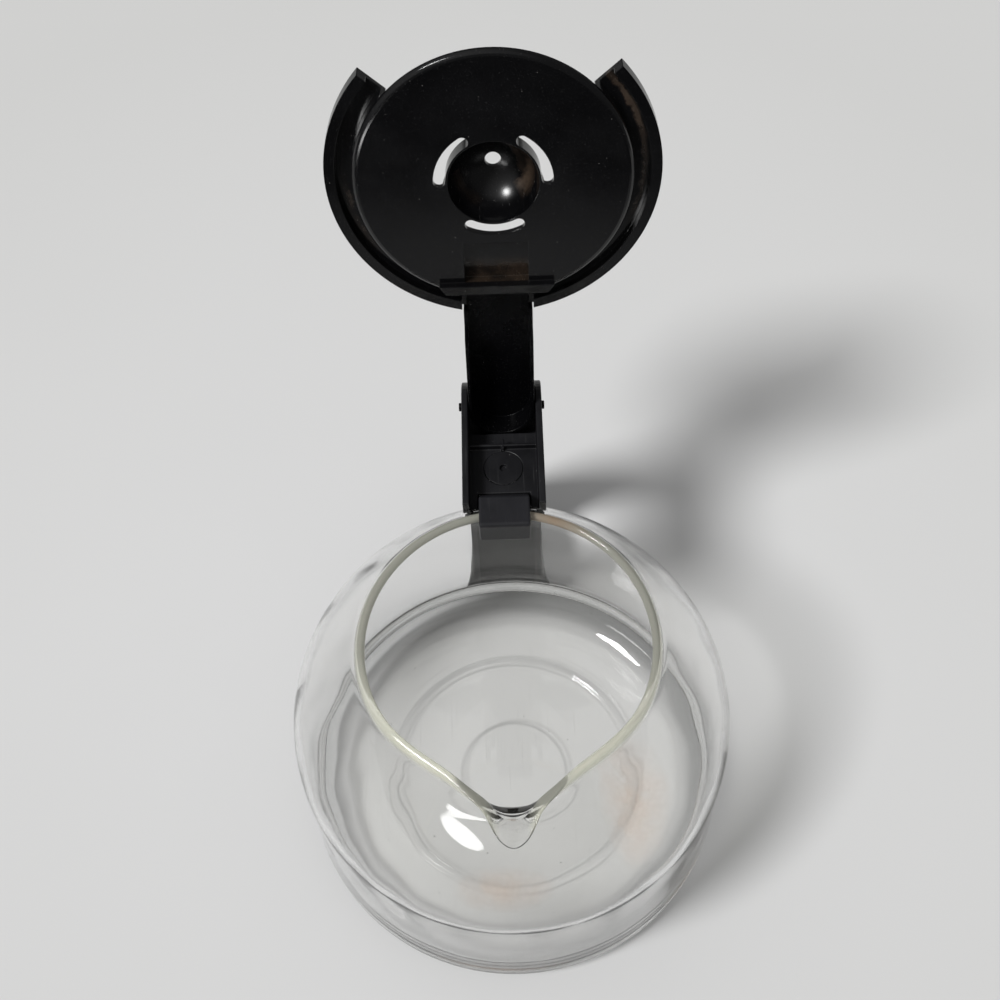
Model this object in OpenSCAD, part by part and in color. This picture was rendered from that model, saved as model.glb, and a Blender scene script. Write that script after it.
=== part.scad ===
// Coffee server: a glass jug with a pouring lip, a loop handle and a hinged lid.
// Millimetres, +Z up, the lip towards -Y and the handle towards +Y.
// The origin is on the jug's axis, on the plane that the jug stands on.
// The lid is drawn swung open against its stop.

/* [Jug] */
// Outside radius of the jug where the shoulder starts
jug_r = 75.4; // [68:0.1:82]
// Height of the jug to the top of its rim
jug_h = 123.5; // [112:0.5:134]
// Height at which the shoulder starts
bulge_z = 62; // [54:0.5:70]
// Outward run of the side wall from the shoulder down to the heel
heel_out = 1.2; // [0:0.1:4]
// Rounding of the heel outside
heel_round = 7; // [4:0.5:10]
// Rounding of the heel inside, where the glass is thicker
heel_inner_round = 15.5; // [10:0.5:18]
// Rise of the underside from the flat to the heel
heel_lift = 1.2; // [0.5:0.1:2.5]
// Radius of the flat that the jug stands on
flat_r = 49; // [35:0.5:58]
// Thickness of the glass wall
glass_wall = 2.4; // [1.8:0.1:3.2]
// Thickness of the glass at the bottom
glass_base = 3; // [2.4:0.1:5]
// Height of the moulded ridge on the bottom inside
ridge_h = 1; // [0.4:0.1:1.6]
// Half width of the ridge
ridge_half = 2.2; // [1.5:0.1:3]
// Outside radius of the rim
rim_r = 47.5; // [42:0.5:54]
// Thickness of the rounded bead on the rim
rim_bead = 2.8; // [2.4:0.1:3.6]
// Inward slope of the wall where it meets the rim
neck_slope = 0.758; // [0.5:0.01:0.95]

/* [Pouring lip] */
// Distance from the axis to the point where the lip's straight sides would meet
lip_apex = 64.7; // [58:0.1:70]
// Reach of the small beak at the tip beyond the straight sides
lip_beak = 4.3; // [2:0.1:6]
// Depth below the rim to which the lip is drawn out
lip_depth = 9; // [7:0.5:14]
// Drop of the tip below the rim
lip_drop = 1.5; // [0:0.1:3]
// Half angle between the straight sides of the lip
lip_angle = 41.6; // [36:0.2:46]
// Angle at the axis over which the straight sides are rounded together
lip_tip_angle = 2.9; // [2:0.1:5]
// Angle at the axis to each side of the tip that the beak takes up
lip_beak_angle = 7.2; // [5:0.1:9]
// Rounding where the lip runs into the round rim
lip_blend = 1.6; // [0.5:0.1:3]
// Inward pinch of the rim beside the lip
lip_pinch = 1.5; // [0:0.1:2]

/* [Handle] */
// Outside width of the handle
handle_w = 27.4; // [26:0.2:32]
// Thickness of the handle's walls
handle_wall = 2.2; // [1.6:0.1:2.4]
// Distance from the rim to the hinge axis
hinge_reach = 40.8; // [38:0.2:48]
// Depth of the hinge axis below the rim
hinge_drop = 0.3; // [0:0.1:1]
// Distance from the rim to the front ends of the bracket's walls
bracket_start = 0.8; // [0.6:0.1:2]
// Height of the bracket's side walls above the rim
bracket_rise = 2.5; // [2:0.1:2.8]
// Depth of the bracket from its top edge to its underside
bracket_depth = 14.5; // [13.5:0.1:17]
// Depth of the bracket's floor below its top edge
floor_drop = 9; // [8.6:0.1:9.6]
// Depth of the floor behind the cross rib below the top edge
rear_floor_drop = 11.5; // [10.5:0.1:12]
// Height of the cross rib above the floor
rib_h = 2; // [1.5:0.1:3.4]
// Thickness of the cross rib
rib_t = 1.1; // [1:0.1:2.4]
// Distance from the hinge axis forward to the cross rib
rib_reach = 12.4; // [11:0.1:13]
// Length of the short rib that crosses it in the middle
rib_stem_l = 5; // [3:0.5:7]
// Distance from the hinge axis back to the corner of the ears
ear_back = 9.7; // [9:0.1:10.5]
// Rounding of the ears' upper corner
ear_round = 7; // [4:0.5:8]
// Distance from the start of the shoulder to the back of the grip
grip_reach = 48; // [44:0.5:58]
// Thickness of the grip from the finger side to the back
grip_t = 17.5; // [16:0.5:19]
// Height of the underside of the handle's foot
foot_z = 9.5; // [7:0.5:13]
// Height of the bar that closes the loop at its foot
foot_h = 17; // [15:0.5:20]
// Length of the rounded corner between grip and foot
foot_round = 17; // [16:0.5:20]
// Thickness of the spine that lies along the jug
spine_t = 3; // [2.2:0.1:4]
// Width of the spine above its flare
spine_w = 26.6; // [24:0.2:27]
// Width of the spine at its foot
spine_foot_w = 34; // [28:0.2:38]
// Height over which the spine flares out
spine_flare_h = 45; // [30:1:60]
// Depth of the rounded cover at the back of the grip
cover_depth = 10; // [8.5:0.5:11]
// Thickness of the silicone pad between spine and jug
pad_t = 0.6; // [0.4:0.1:1.2]
// Width of the pad
pad_w = 22; // [16:0.5:24]

/* [Rim clip] */
// Gap between the clip and the lever's walls on each side
clip_side_gap = 1.6; // [1:0.1:3]
// Thickness of the clip
clip_t = 2.4; // [2:0.1:2.8]
// Thickness of the clip's leg inside the jug
clip_leg_t = 3.6; // [2.4:0.1:4]
// Rounding of the clip's outer corners
clip_round = 1.2; // [0.6:0.1:2]
// Length of the clip's leg inside the jug
clip_leg = 7.5; // [6:0.5:12]
// Thickness of the clip's tongue under the floor
tongue_t = 1.6; // [1.2:0.1:2]
// Distance from the rim to the rivet that holds the tongue
rivet_reach = 19.7; // [17:0.1:22]
// Diameter of the rivet's flat head
rivet_head_d = 13; // [9:0.5:14]
// Diameter of the rivet's shank
rivet_d = 5; // [4:0.2:6]
// Diameter of the dimple in the rivet's head
rivet_dimple_d = 2.6; // [1.3:0.1:3.2]

/* [Lid] */
// Outside radius of the lid
lid_r = 50.4; // [49.5:0.1:51]
// Thickness of the lid's plates
lid_t = 1.8; // [1.5:0.1:2]
// Distance of the lid's middle from the jug's axis towards the lip
lid_forward = 1.2; // [0.5:0.1:2]
// Radius of the plug that drops into the mouth
plug_r = 42; // [40:0.1:42.2]
// Depth of the plug below the edge of the skirt
plug_depth = 4.3; // [3:0.1:5]
// Depth of the skirt round the flange
skirt_h = 3; // [2:0.1:3.2]
// Thickness of the skirt
skirt_t = 3.2; // [1.6:0.1:3.6]
// Half angle of the gap in the flange over the pouring lip
flange_gap_angle = 48.2; // [42:0.2:54]
// Gap between the closed skirt and the rim
lid_seat_gap = 0.7; // [0.5:0.1:1]
// Outside radius of the dome
dome_r = 15.2; // [12:0.1:16]
// Thickness of the dome
dome_t = 1.5; // [1.4:0.1:2.2]
// Diameter of the hole in the dome's top
dome_hole_d = 5; // [4:0.2:6]
// Width of the brewing slots round the dome
slot_w = 3.6; // [3:0.1:3.8]
// Depth to which the slots cut into the dome's foot
slot_inset = 0.9; // [0:0.1:0.9]
// Angle that each slot takes up
slot_angle = 54; // [40:1:80]
// Number of slots
slot_n = 3; // [2:1:4]
// Distance from the lid's middle to the back of the drip wall
drip_wall_y = 38.4; // [37:0.1:39]
// Depth of the drip wall below the plug
drip_wall_h = 2.5; // [1.5:0.1:4]
// Thickness of the drip wall
drip_wall_t = 3; // [2:0.1:3.4]
// Width of the drip wall at its front
drip_wall_w = 36; // [30:0.2:36.6]
// Length of the pocket in front of the drip wall
pocket_l = 14.4; // [9:0.2:15]
// Depth of the pocket in the plug
pocket_depth = 3.1; // [2:0.1:3.4]

/* [Lever] */
// Gap between the lever and the bracket's walls on each side
lever_side_gap = 0.3; // [0.3:0.1:0.8]
// Thickness of the lever's walls
lever_wall = 1.2; // [1:0.1:1.4]
// Length of the lever's front end that lies over the pocket
lever_nose = 10.2; // [6:0.2:11]
// Height of the lever's top plate above the hinge axis
lever_rise = 6.1; // [6.1:0.1:7.5]
// Depth of the lever's side walls below the hinge axis
lever_drop = 2.3; // [2:0.1:2.6]
// Diameter of the hinge stubs
pin_d = 2.9; // [2.4:0.1:3.2]
// Distance from the rim back to where the lever's walls deepen
lever_deep_reach = 8.5; // [6:0.1:12]
// Length of a stub that shows outside its ear
pin_proud = 0.9; // [0.5:0.1:1.5]
// Angle that the lid swings from closed to its stop
open_angle = 105.6; // [95:0.2:110]

/* [Hidden] */
$fn = 96;

// Clearances
pad_gap = 0.1;
cover_gap = 0.1;
clip_gap = 0.4;
pin_gap = 0.05;
lever_gap = 0.3;
rivet_gap = 0.05;
seat_gap = 0.05;
swing_gap = 0.5;
stop_gap = 0.3;
// Reach of every cut past the face that it opens
overrun = 5;

// Steps of the curves
lip_steps = 32;
round_steps = 48;
shoulder_steps = 10;
arc_steps = 4;
grip_steps = 18;
corner_steps = 8;
spine_steps = 24;

// Jug
heel_r = jug_r + heel_out;
bead_r = rim_bead / 2;
neck_angle = atan(neck_slope);
neck_normal = [cos(neck_angle), sin(neck_angle)];
bead_c = [rim_r - bead_r, jug_h - bead_r];
neck_end = bead_c + glass_wall / 2 * neck_normal;
heel_c = [heel_r - heel_round, heel_lift + heel_round];
heel_inner_z = glass_base + heel_lift + heel_inner_round;
heel_inner_c = [side_r(heel_inner_z) - glass_wall - heel_inner_round, heel_inner_z];
// Middle radius of the ridge on the bottom inside
ridge_r = flat_r - glass_base;
lip_zone = 45;
pinch_angle = 36;
pinch_spread = 18;
lip_fall = 1.7;

// Radius of the outside of the shoulder at height z, a cubic in z
function shoulder_r(z) =
  let (span = neck_end[1] - bulge_z, t = (z - bulge_z) / span)
  jug_r * (2 * t ^ 3 - 3 * t ^ 2 + 1) + neck_end[0] * (3 * t ^ 2 - 2 * t ^ 3)
  - neck_slope * span * (t ^ 3 - t ^ 2);

// Radius of the outside of the nearly straight side wall at height z
function side_r(z) =
  let (t = (bulge_z - z) / (bulge_z - heel_c[1]))
  jug_r + heel_out * t ^ 2;

function jug_r_at(z) = z > bulge_z ? shoulder_r(z) : side_r(z);

function arc(c, r, a0, a1, n) =
  [for (i = [0:n]) let (a = a0 + (a1 - a0) * i / n) c + r * [cos(a), sin(a)]];

function unit(v) = v / norm(v);

// The directions to the left of a line of points
function normals(line) =
  [for (i = [0:len(line) - 1])
    let (t = unit(line[min(i + 1, len(line) - 1)] - line[max(i - 1, 0)]))
    [-t[1], t[0]]];

// A line of points moved sideways to its left
function moved(line, d) = line + d * normals(line);

function backwards(list) = [for (i = [len(list) - 1:-1:0]) list[i]];

// The outside of the side wall and shoulder, from the heel up to the rim
wall_line = concat(
  [for (i = [0:1]) let (z = heel_c[1] + (bulge_z - heel_c[1]) * i / 2) [side_r(z), z]],
  [for (i = [0:shoulder_steps])
    let (z = bulge_z + (neck_end[1] - bulge_z) * i / (shoulder_steps + 1))
    [shoulder_r(z), z]]
);

// The inside of the side wall and shoulder, from the rim down to the heel's rounding
inner_wall_line = [for (p = backwards(moved(wall_line, glass_wall))) if (p[1] > heel_inner_z) p];

// The ridge, from its foot outside to its foot on the flat inside
ridge_line = [for (k = [-2:2]) [ridge_r - ridge_half * k / 2, glass_base + ridge_h * cos(45 * k) ^ 2]];

// The whole section of the glass, from the flat underneath, over the rim, to the flat inside
glass_line = concat(
  [[flat_r, 0]],
  arc(heel_c, heel_round, -90, -90 / (arc_steps + 1), arc_steps),
  wall_line,
  arc(bead_c, bead_r, neck_angle - 40, neck_angle + 220, 2 * arc_steps),
  inner_wall_line,
  arc(heel_inner_c, heel_inner_round, 0, -90, arc_steps),
  ridge_line
);

// Angles round the axis from the lip's tip, closer together along the lip
lip_angles = concat(
  [for (i = [0:lip_steps - 1]) lip_zone * (2 * i / lip_steps - 1)],
  [for (i = [0:round_steps - 1]) lip_zone + (360 - 2 * lip_zone) * i / round_steps]
);

function from_tip(a) = a > 180 ? 360 - a : abs(a);

function smooth_max(a, b, k) = (a + b + sqrt((a - b) ^ 2 + k ^ 2)) / 2;

// Radius of the rim at an angle from the lip's tip: straight sides run into the round rim
function rim_r_at(a) =
  let (
    off = from_tip(a),
    side = min(off, 90 - lip_angle),
    slope = tan(lip_angle),
    straight = lip_apex * slope / (sqrt(sin(side) ^ 2 + sin(lip_tip_angle) ^ 2) + slope * cos(side)),
    pinched = rim_r - lip_pinch * exp(-((off - pinch_angle) / pinch_spread) ^ 2)
  )
  smooth_max(pinched, straight, lip_blend) + lip_beak * exp(-(off / lip_beak_angle) ^ 4);

lip_reach = rim_r_at(0);

// Share of the lip's reach that is left at height z
function lip_share(z) = max(0, 1 - (jug_h - z) / lip_depth) ^ lip_fall;

function glass_point(p, a) =
  let (
    share = lip_share(p[1]),
    r = p[0] + (rim_r_at(a) - rim_r) * share,
    drop = lip_drop * share * max(0, (rim_r_at(a) - rim_r) / (lip_reach - rim_r))
  )
  [r * sin(a), -r * cos(a), p[1] - drop];

// Handle, in the plane of its side view: y outwards, z up
hinge_y = rim_r + hinge_reach;
hinge_z = jug_h - hinge_drop;
bracket_top = jug_h + bracket_rise;
bracket_under = bracket_top - bracket_depth;
floor_top = bracket_top - floor_drop;
floor_t = handle_wall;
inner_w = handle_w - 2 * handle_wall;
lever_w = inner_w - 2 * lever_side_gap;
lever_inner_w = lever_w - 2 * lever_wall;
clip_w = lever_inner_w - 2 * clip_side_gap;
front_y = rim_r + bracket_start;
rib_y = hinge_y - rib_reach - rib_t;
lever_end_r = lever_w / 2;
lever_top = lever_rise + lever_wall;
swept_r = norm([lever_end_r, lever_top]);
pocket_r = swept_r + swing_gap;
// Face that the lever's end stops against when the lid is open
stop_y = hinge_y + lever_end_r * cos(open_angle) - lever_drop * sin(open_angle) - stop_gap;
saddle_gap = pad_t + 2 * pad_gap;

grip_start = [hinge_y + ear_back, bracket_top];
grip_end = [jug_r + grip_reach, foot_z + foot_round];
grip_run = grip_end - grip_start;
// Places of the grip curve's two handles, as shares of its run along y and z
grip_handle_shares = [[0.44, 0.125], [0.88, 0.625]];
grip_curve = [
  grip_start,
  grip_start + [grip_run[0] * grip_handle_shares[0][0], grip_run[1] * grip_handle_shares[0][1]],
  grip_start + [grip_run[0] * grip_handle_shares[1][0], grip_run[1] * grip_handle_shares[1][1]],
  grip_end
];
foot_corner = [grip_end[0], foot_z];
foot_start = [grip_end[0] - foot_round, foot_z];
// Share of the curve above which the lever's end stays free of the cover
cover_start_share = 0.22;
// Share of the curve at which the finger gap starts
gap_start_share = 0.3;

function bezier3(p, t) =
  p[0] * (1 - t) ^ 3 + 3 * p[1] * t * (1 - t) ^ 2 + 3 * p[2] * t ^ 2 * (1 - t) + p[3] * t ^ 3;

function bezier2(p, t) = p[0] * (1 - t) ^ 2 + 2 * p[1] * t * (1 - t) + p[2] * t ^ 2;

// The back of the grip from share s of its curve to the start of the foot
function back_line(s) = concat(
  [for (i = [0:grip_steps]) bezier3(grip_curve, s + (1 - s) * i / grip_steps)],
  [for (i = [1:corner_steps])
    bezier2([grip_end, foot_corner, foot_start], i / corner_steps)]
);

// The grip's curve alone, moved in from the back by a depth
function grip_line(s, depth) =
  moved([for (i = [0:grip_steps]) bezier3(grip_curve, s + (1 - s) * i / grip_steps)], -depth);

// A plate in the side view's plane, as wide as w across the handle
module across(points, w) {
  rotate([90, 0, 90])
    linear_extrude(height = w, center = true)
      polygon(points);
}

// A round bar across the handle on the hinge axis
module hinge_bar(r, w) {
  translate([-w / 2, hinge_y, hinge_z])
    rotate([0, 90, 0])
      cylinder(r = r, h = w);
}

// A solid through rings of points, closed at both ends by strips from side to side of the ring
module loft(rings) {
  n = len(rings[0]);
  last = (len(rings) - 1) * n;
  points = [for (ring = rings) for (p = ring) p];
  sides = [
    for (i = [0:n:last - n]) for (j = [0:n - 1])
      let (a = i + j, b = i + (j + 1) % n)
      each [[a, a + n, b], [b, a + n, b + n]]
  ];
  strips = [for (j = [0:n / 2 - 2]) each [[j, j + 1, n - 1 - j], [j + 1, n - 2 - j, n - 1 - j]]];
  ends = concat(strips, [for (t = strips) [t[2] + last, t[1] + last, t[0] + last]]);
  polyhedron(points = points, faces = concat(sides, ends));
}

module glass_jug() {
  color("lightcyan", 0.4)
    loft([for (p = glass_line) [for (a = lip_angles) glass_point(p, a)]]);
}

// Everything inside the jug's outside, grown by a gap
module jug_room(gap) {
  rotate_extrude()
    polygon(concat(
      [[0, foot_z - overrun], [heel_r + gap, foot_z - overrun]],
      [for (p = wall_line) p + [gap, 0]],
      [neck_end + [gap, gap], [rim_r + gap, jug_h - bead_r], [rim_r + gap, bracket_top + overrun],
       [0, bracket_top + overrun]]
    ));
}

// The wall's heights and radii, as a table
wall_table = [for (p = wall_line) [p[1], p[0]]];

// A layer that lies along the jug's back, from gap to gap + t outside it
module along_jug(gap, t, z0, z1) {
  heights = concat([z0], [for (p = wall_line) if (p[1] > z0 && p[1] < z1) p[1]], [z1]);
  rotate_extrude()
    polygon(concat(
      [for (z = heights) [lookup(z, wall_table) + gap, z]],
      [for (z = backwards(heights)) [lookup(z, wall_table) + gap + t, z]]
    ));
}

function spine_half_w(z) =
  spine_w / 2
  + (spine_foot_w - spine_w) / 2 * max(0, 1 - (z - foot_z) / spine_flare_h) ^ 2;

// The spine's outline seen from the front, cut through the jug's back
module spine_outline(z0, z1) {
  heights = [for (i = [0:spine_steps]) z0 + (z1 - z0) * i / spine_steps];
  rotate([90, 0, 0])
    mirror([0, 0, 1])
      linear_extrude(height = jug_r + grip_reach)
        polygon(concat(
          [for (z = heights) [spine_half_w(z), z]],
          [for (z = backwards(heights)) [-spine_half_w(z), z]]
        ));
}

module spine() {
  intersection() {
    along_jug(0, saddle_gap + spine_t, foot_z, bracket_under + handle_wall);
    spine_outline(foot_z, bracket_under + handle_wall);
  }
}

module saddle_pad() {
  z0 = foot_z + handle_wall;
  z1 = bracket_under - handle_wall;
  color("dimgray")
    intersection() {
      along_jug(pad_gap, pad_t, z0, z1);
      translate([-pad_w / 2, 0, z0])
        cube([pad_w, heel_r + saddle_gap, z1 - z0]);
    }
}

// The handle's outline in side view, filled
module handle_outline() {
  back = back_line(cover_start_share);
  corner = [[grip_start[0] - ear_round, bracket_top], grip_start, back[0]];
  across(
    concat(
      [[front_y, foot_z], [front_y, bracket_top]],
      [for (i = [0:corner_steps - 1]) bezier2(corner, i / corner_steps)],
      back
    ),
    handle_w
  );
}

// The space for the fingers, which the pocket's wall and the spine bound
module finger_gap() {
  difference() {
    across(
      concat(
        [[front_y, foot_z + foot_h], [front_y, bracket_under], [hinge_y - handle_wall, bracket_under]],
        grip_line(gap_start_share, grip_t),
        [[grip_end[0] - grip_t - handle_wall, foot_z + foot_h]]
      ),
      handle_w + 2 * overrun
    );
    hinge_bar(pocket_r + handle_wall, handle_w + 4 * overrun);
  }
}

// The cover's own room at the back of the grip
module cover_room() {
  back = back_line(cover_start_share);
  across(concat(moved(back, overrun), backwards(moved(back, -cover_depth - cover_gap))),
    handle_w + 2 * overrun);
}

// The hollow inside the grip and the foot
module grip_hollow() {
  difference() {
    across(
      concat(grip_line(gap_start_share, grip_t - handle_wall), backwards(grip_line(gap_start_share, 0))),
      inner_w
    );
    hinge_bar(pocket_r + handle_wall, handle_w);
  }
  foot_front = heel_r + saddle_gap + spine_t + handle_wall;
  across(
    [[foot_front, foot_z + handle_wall], [foot_front, foot_z + foot_h - handle_wall],
     [grip_end[0] - cover_depth, foot_z + foot_h - handle_wall],
     [grip_end[0] - cover_depth, foot_z + handle_wall]],
    inner_w
  );
}

// The open channel in the bracket, with the ribs at its back and the room behind them
module bracket_channel() {
  top = bracket_top + overrun;
  rib_top = floor_top + rib_h;
  rear_floor = bracket_top - rear_floor_drop;
  difference() {
    across(
      [[0, floor_top], [rib_y, floor_top], [rib_y, rib_top], [rib_y + rib_t, rib_top],
       [rib_y + rib_t, rear_floor], [hinge_y, rear_floor], [grip_end[0], hinge_z], [grip_end[0], top],
       [0, top]],
      inner_w
    );
    translate([-rib_t / 2, rib_y + (rib_t - rib_stem_l) / 2, bracket_under])
      cube([rib_t, rib_stem_l, rib_top - bracket_under]);
  }
  intersection() {
    hinge_bar(pocket_r, inner_w);
    translate([-handle_w / 2, stop_y, 0])
      cube([handle_w, grip_end[0], top]);
  }
}

floor_front = jug_r_at(floor_top - floor_t - tongue_t) + clip_t + 2 * clip_gap;
rivet_y = rim_r + rivet_reach;
tongue_top = floor_top - floor_t - seat_gap;
rivet_head_t = 0.6;
// Depth of the round seat for the rivet's head
rivet_sink = 0.5;

module handle_frame() {
  color([0.06, 0.06, 0.065])
    difference() {
      union() {
        difference() {
          handle_outline();
          finger_gap();
        }
        spine();
      }
      jug_room(saddle_gap);
      cover_room();
      grip_hollow();
      bracket_channel();
      hinge_bar(pin_d / 2 + pin_gap, handle_w + 2 * overrun);
      // Room under the floor for the clip's tongue, and the slot that it comes up through
      across(
        [[0, bracket_under - overrun], [0, floor_top - floor_t],
         [rib_y - handle_wall, floor_top - floor_t], [rib_y - handle_wall, bracket_under - overrun]],
        inner_w
      );
      translate([-clip_w / 2 - clip_gap, 0, floor_top - floor_t - overrun])
        cube([clip_w + 2 * clip_gap, floor_front, floor_t + 2 * overrun]);
      translate([0, rivet_y, floor_top - floor_t - overrun])
        cylinder(d = rivet_d + 2 * rivet_gap, h = floor_t + 2 * overrun);
      translate([0, rivet_y, floor_top - rivet_sink])
        cylinder(d = rivet_head_d + 2 * rivet_gap, h = rivet_sink + overrun);
    }
}

// The cover's section: a rounded channel, in x across the handle and depth in from the back
cover_section = concat(
  arc([handle_w / 2 - cover_depth, cover_depth], cover_depth, 0, -90, arc_steps),
  arc([cover_depth - handle_w / 2, cover_depth], cover_depth, -90, -180, arc_steps),
  arc([cover_depth - handle_w / 2, cover_depth], cover_depth - handle_wall, -180, -90, arc_steps),
  arc([handle_w / 2 - cover_depth, cover_depth], cover_depth - handle_wall, -90, 0, arc_steps)
);

module grip_cover() {
  back = back_line(cover_start_share);
  inward = -normals(back);
  color([0.06, 0.06, 0.065])
    difference() {
      loft([
        for (i = [0:len(back) - 1])
          [for (s = cover_section)
            let (p = back[i] + s[1] * inward[i])
            [s[0], p[0], p[1]]]
      ]);
      hinge_bar(pocket_r, inner_w);
    }
}

clip_top = jug_h + clip_gap + clip_t;
leg_back = sqrt((rim_r - rim_bead) ^ 2 - (clip_w / 2) ^ 2) - clip_gap;
leg_front = leg_back - clip_leg_t;
hook_back = rim_r + clip_gap + clip_t + clip_t / 2;
tongue_under = tongue_top - tongue_t;

// A hook over the rim whose tongue runs on under the bracket's floor
module rim_clip() {
  neck = [for (i = [0:arc_steps]) tongue_under + (jug_h - rim_bead - tongue_under) * i / arc_steps];
  color([0.09, 0.09, 0.1])
    difference() {
      across(
        concat(
          [for (z = neck) [jug_r_at(z) + clip_gap, z]],
          [[rim_r + clip_gap, jug_h - bead_r], [rim_r + clip_gap, clip_top - clip_t],
           [leg_back, clip_top - clip_t], [leg_back, jug_h - clip_leg], [leg_front, jug_h - clip_leg]],
          arc([leg_front + clip_round, clip_top - clip_round], clip_round, 180, 90, arc_steps),
          arc([hook_back - clip_round, clip_top - clip_round], clip_round, 90, 20, arc_steps),
          [[floor_front - clip_gap, floor_top], [floor_front - clip_gap, tongue_top],
           [rivet_y + rivet_d, tongue_top], [rivet_y + rivet_d, tongue_under]]
        ),
        clip_w
      );
      translate([0, rivet_y, tongue_under - overrun])
        cylinder(d = rivet_d + 2 * rivet_gap, h = tongue_t + 2 * overrun);
    }
}

rivet_foot_t = 1;
rivet_foot_share = 1.6;

module clip_rivet() {
  shank_top = floor_top - rivet_sink + seat_gap;
  shank_under = tongue_under - seat_gap;
  color([0.08, 0.08, 0.085])
    translate([0, rivet_y, 0])
      difference() {
        union() {
          translate([0, 0, shank_top])
            cylinder(d = rivet_head_d, h = rivet_head_t);
          translate([0, 0, shank_under])
            cylinder(d = rivet_d, h = shank_top - shank_under + rivet_head_t);
          translate([0, 0, shank_under - rivet_foot_t])
            cylinder(d = rivet_d * rivet_foot_share, h = rivet_foot_t);
        }
        translate([0, 0, floor_top - floor_t / 2])
          cylinder(d = rivet_dimple_d, h = floor_t + overrun);
      }
}

// The lid's own frame: closed, on its middle, z up from the edge of the skirt
lid_z = jug_h + lid_seat_gap;
flange_under = skirt_h;
flange_top = skirt_h + lid_t;
plug_under = -plug_depth;
plug_top = plug_under + lid_t;
drip_chord = sqrt((plug_r - lid_t / 2) ^ 2 - drip_wall_y ^ 2);
skirt_gap = lever_w / 2 + lever_gap;
slot_r = dome_r - slot_inset + slot_w / 2;
// Pocket in front of the drip wall: its place, its floor and the top of the block round it
pocket_back = drip_wall_y - drip_wall_t;
pocket_front = pocket_back - pocket_l;
pocket_floor = plug_under + pocket_depth;
pocket_top = pocket_floor + lid_t;
// Run of the pocket's front wall for each unit of its rise
pocket_draft_share = 0.6;
// Slope of the drip wall's ends, as a share of its thickness
tab_slope_share = 0.7;

// Carries what is drawn in the lid's own frame to its place with the lid open
module lid_open() {
  translate([0, hinge_y, hinge_z])
    rotate([-open_angle, 0, 0])
      translate([0, -hinge_y - lid_forward, lid_z - hinge_z])
        children();
}

// The sector over the pouring lip in which only the plug's plate is left
module flange_gap() {
  rotate([0, 0, -90 - flange_gap_angle])
    rotate_extrude(angle = 2 * flange_gap_angle)
      translate([plug_r - lid_t - seat_gap, plug_top])
        square([lid_r, flange_top + overrun - plug_top]);
}

// One slot round the dome, centred on the lip's side
module brew_slot() {
  a = slot_angle / 2;
  translate([0, 0, plug_under - overrun])
    union() {
      rotate([0, 0, -90 - a])
        rotate_extrude(angle = slot_angle)
          translate([slot_r - slot_w / 2, 0])
            square([slot_w, lid_t + 2 * overrun]);
      for (s = [-a, a])
        rotate([0, 0, s - 90])
          translate([slot_r, 0, 0])
            cylinder(d = slot_w, h = lid_t + 2 * overrun);
    }
}

// The flange with its skirt, open over the pouring lip and at the handle
module flange() {
  difference() {
    rotate_extrude()
      polygon([[plug_r - lid_t, flange_under], [lid_r - skirt_t, flange_under], [lid_r - skirt_t, 0],
        [lid_r, 0], [lid_r, flange_top], [plug_r - lid_t, flange_top]]);
    translate([-skirt_gap, drip_wall_y, -overrun])
      cube([2 * skirt_gap, lid_r, flange_under + overrun]);
    // Room for the front ends of the bracket's walls
    translate([-handle_w / 2 - lever_gap, front_y + lid_forward - lever_gap, -overrun])
      cube([handle_w + 2 * lever_gap, lid_r, flange_under + overrun]);
  }
}

// The plug: a shallow dish that ends at the drip wall
module plug() {
  intersection() {
    rotate_extrude()
      polygon(concat(
        [[0, plug_under]],
        arc([plug_r - lid_t, plug_top], lid_t, -90, 0, arc_steps),
        [[plug_r, flange_top], [plug_r - lid_t, flange_top], [plug_r - lid_t, plug_top], [0, plug_top]]
      ));
    translate([-plug_r, -plug_r, plug_under])
      cube([2 * plug_r, plug_r + drip_wall_y, plug_depth + flange_top]);
  }
}

// The wall that closes the dish towards the handle, with a tab below it
module drip_wall() {
  tab_end = drip_wall_w / 2 - drip_wall_t * tab_slope_share;
  translate([0, 0, plug_under - drip_wall_h])
    linear_extrude(height = drip_wall_h + lid_t)
      polygon([[-drip_wall_w / 2, pocket_back], [drip_wall_w / 2, pocket_back], [tab_end, drip_wall_y],
        [-tab_end, drip_wall_y]]);
  translate([-drip_chord, drip_wall_y - lid_t, plug_top - lid_t / 2])
    cube([2 * drip_chord, lid_t, flange_top - plug_top + lid_t / 2]);
}

// The block on the dish that the pocket is sunk into
module pocket_block() {
  across(
    [[pocket_front - lid_t, plug_under], [drip_wall_y, plug_under], [drip_wall_y, pocket_top],
     [pocket_front - lid_t + pocket_draft_share * (pocket_top - plug_under), pocket_top]],
    lever_w
  );
}

module pocket_room() {
  across(
    [[pocket_front - pocket_draft_share * overrun, plug_under - overrun],
     [pocket_back, plug_under - overrun], [pocket_back, pocket_floor],
     [pocket_front + pocket_draft_share * pocket_depth, pocket_floor]],
    lever_inner_w
  );
}

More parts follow.
